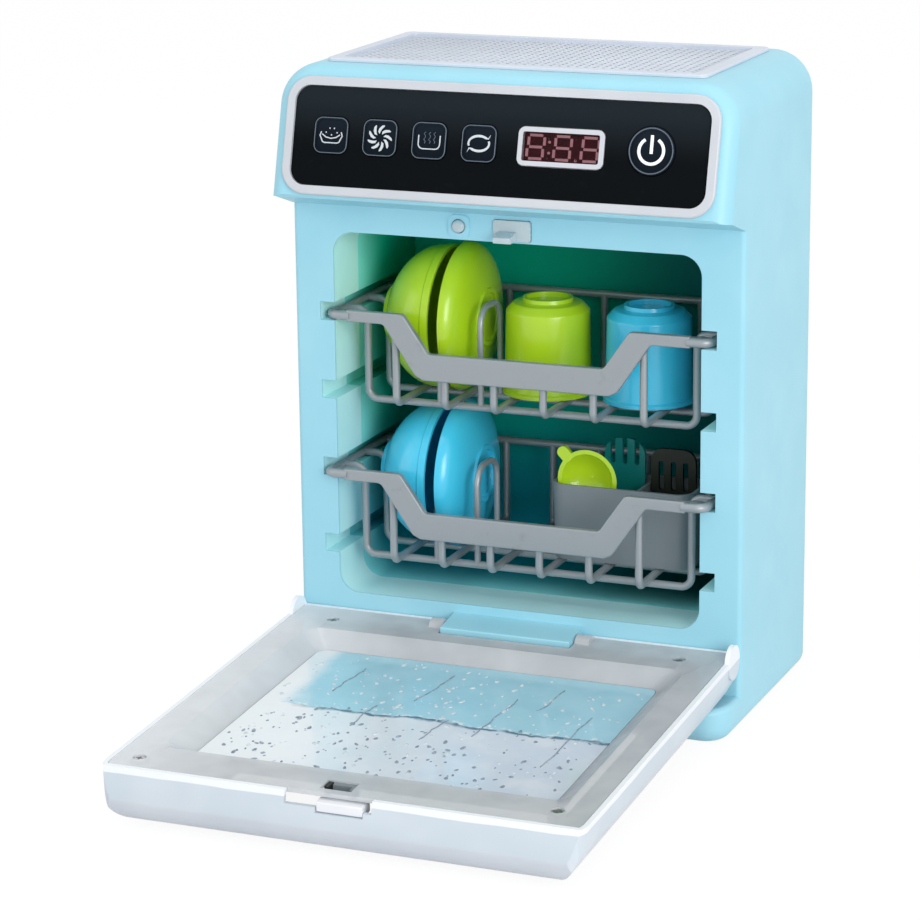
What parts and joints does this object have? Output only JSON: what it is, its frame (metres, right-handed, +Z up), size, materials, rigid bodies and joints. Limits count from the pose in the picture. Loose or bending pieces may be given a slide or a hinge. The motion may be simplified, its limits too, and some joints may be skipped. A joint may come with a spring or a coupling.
{
  "type": "toy dishwasher",
  "caption": "Toy countertop dishwasher with a drop-down door, two sliding wire racks holding toy cups, bowls, plates and cutlery, and a leaning panel with press buttons and a display.",
  "frame": {"origin": "middle of the cabinet's footprint, on the floor it stands on", "axes": "+Z up, front with the door towards -Y, +X to the right seen from the front"},
  "size_m": [0.22, 0.315, 0.3012],
  "materials": {
    "shell_blue": "satin moulded plastic",
    "tub_teal": "satin moulded plastic",
    "cover_blue": "fine-textured plastic",
    "white_plastic": "satin moulded plastic",
    "door_white": "satin moulded plastic",
    "clear_frosted": "translucent moulded plastic",
    "window_clear": "clear printed plastic",
    "black_gloss": "glossy film",
    "button_black": "satin film",
    "display_red": "tinted window",
    "digit_red": "lit segments",
    "board_green": "lacquered board",
    "dark_plastic": "moulded plastic",
    "steel": "plated steel",
    "cell_wrap": "printed wrap",
    "rack_silver": "silver-painted plastic",
    "keeper_grey": "translucent plastic",
    "dish_green": "glossy plastic",
    "dish_blue": "glossy plastic",
    "box_grey": "satin plastic",
    "tool_teal": "glossy plastic",
    "tool_dark": "satin plastic"
  },
  "bodies": {
    "cabinet": {"cabinet_shell": "shell_blue", "tub_liner": "tub_teal", "rear_cover": "cover_blue", "base_plate": "cover_blue", "battery_cover": "cover_blue", "case_screws": "steel", "battery_screw": "steel", "batteries": "cell_wrap", "battery_contacts": "steel", "speaker": "dark_plastic", "top_tray": "white_plastic", "panel_bezel": "white_plastic", "panel_fascia": "black_gloss", "display_frame": "white_plastic", "display_window": "display_red", "display_module": "dark_plastic", "display_digits": "digit_red", "circuit_board": "board_green", "board_screws": "steel", "latch_keeper": "keeper_grey"},
    "door": {"door_shell": "door_white", "door_liner": "clear_frosted", "door_window": "window_clear", "door_screws": "steel", "hinge_pin": "steel"},
    "latch": {"door_latch": "white_plastic"},
    "wash_button": {"button_wash": "button_black"},
    "fan_button": {"button_fan": "button_black"},
    "steam_button": {"button_steam": "button_black"},
    "cycle_button": {"button_cycle": "button_black"},
    "start_button": {"power_button": "button_black"},
    "sensor_pin": {"door_sensor_button": "keeper_grey"},
    "upper_rack": {"upper_rack_rail": "rack_silver", "upper_cross_wires": "rack_silver", "upper_long_wires": "rack_silver", "upper_plate_tines": "rack_silver", "upper_rack_handle": "rack_silver", "green_cup": "dish_green", "blue_cup": "dish_blue", "green_plate": "dish_green", "green_bowl": "dish_green"},
    "lower_rack": {"lower_rack_rail": "rack_silver", "lower_cross_wires": "rack_silver", "lower_long_wires": "rack_silver", "lower_plate_tines": "rack_silver", "lower_rack_handle": "rack_silver", "blue_plate": "dish_blue", "blue_bowl": "dish_blue", "cutlery_box": "box_grey", "spoon": "dish_green", "fork": "tool_teal", "ladle": "tool_dark"}
  },
  "joints": [
    {"name": "door_hinge", "type": "hinge", "parent": "cabinet", "child": "door", "pos_m": [0, -0.04925, 0.036], "axis": [1, 0, 0], "range_deg": [-93.1, 0]},
    {"name": "latch_slide", "type": "slide", "parent": "door", "child": "latch", "axis": [0, 0.9985, 0.0541], "range_m": [0, 0.0015], "stiffness_N_per_m": 300, "springref_m": -0.002},
    {"name": "upper_rack_slide", "type": "slide", "parent": "cabinet", "child": "upper_rack", "axis": [0, -1, 0], "range_m": [0, 0.055]},
    {"name": "lower_rack_slide", "type": "slide", "parent": "cabinet", "child": "lower_rack", "axis": [0, -1, 0], "range_m": [-0.006, 0.049]},
    {"name": "sensor_press", "type": "slide", "parent": "cabinet", "child": "sensor_pin", "axis": [0, 1, 0], "range_m": [0, 0.0015], "stiffness_N_per_m": 300, "springref_m": -0.002},
    {"name": "wash_button_press", "type": "slide", "parent": "cabinet", "child": "wash_button", "axis": [0, 0.9669, -0.255], "range_m": [0, 0.0015], "stiffness_N_per_m": 300, "springref_m": -0.002},
    {"name": "fan_button_press", "type": "slide", "parent": "cabinet", "child": "fan_button", "axis": [0, 0.9669, -0.255], "range_m": [0, 0.0015], "stiffness_N_per_m": 300, "springref_m": -0.002},
    {"name": "steam_button_press", "type": "slide", "parent": "cabinet", "child": "steam_button", "axis": [0, 0.9669, -0.255], "range_m": [0, 0.0015], "stiffness_N_per_m": 300, "springref_m": -0.002},
    {"name": "cycle_button_press", "type": "slide", "parent": "cabinet", "child": "cycle_button", "axis": [0, 0.9669, -0.255], "range_m": [0, 0.0015], "stiffness_N_per_m": 300, "springref_m": -0.002},
    {"name": "start_button_press", "type": "slide", "parent": "cabinet", "child": "start_button", "axis": [0, 0.9669, -0.255], "range_m": [0, 0.0015], "stiffness_N_per_m": 300, "springref_m": -0.002}
  ]
}
